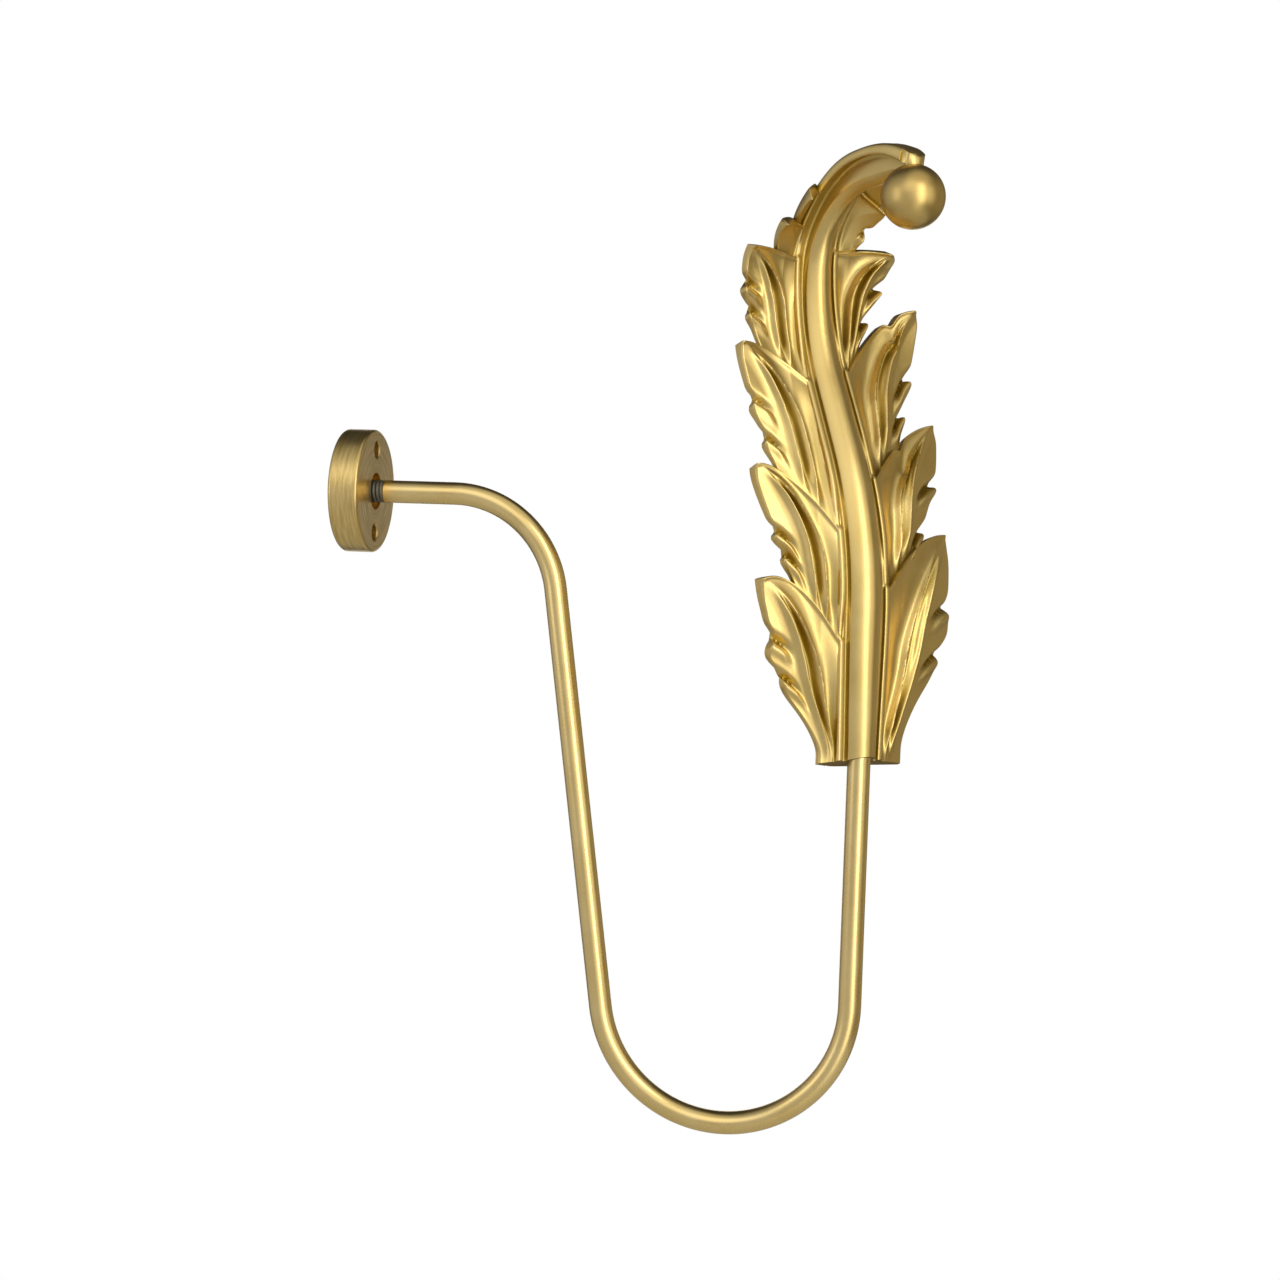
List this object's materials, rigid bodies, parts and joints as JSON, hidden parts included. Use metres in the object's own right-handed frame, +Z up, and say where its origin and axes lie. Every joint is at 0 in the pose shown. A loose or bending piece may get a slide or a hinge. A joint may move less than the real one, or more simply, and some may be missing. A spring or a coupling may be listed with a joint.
{
  "type": "curtain holdback",
  "caption": "Wall-mounted brass curtain holdback: a round plate, a rod bent into a hook that holds the curtain, and a cast acanthus leaf that curls over a ball.",
  "frame": {"origin": "centre of the wall plate's back face, midway between the screw holes", "axes": "+X out of the wall, +Z up, the leaf faces +X and -Y"},
  "size_m": [0.1948, 0.0712, 0.3143],
  "materials": {
    "turned_brass": "turned satin brass with fine round tool marks",
    "rod_brass": "drawn satin brass",
    "cast_brass": "cast satin gold with a fine grain",
    "polished_brass": "smooth satin brass"
  },
  "bodies": {
    "root": {"wall_plate": "turned_brass", "rod": "rod_brass", "leaf": "cast_brass", "ball": "polished_brass"}
  },
  "joints": []
}
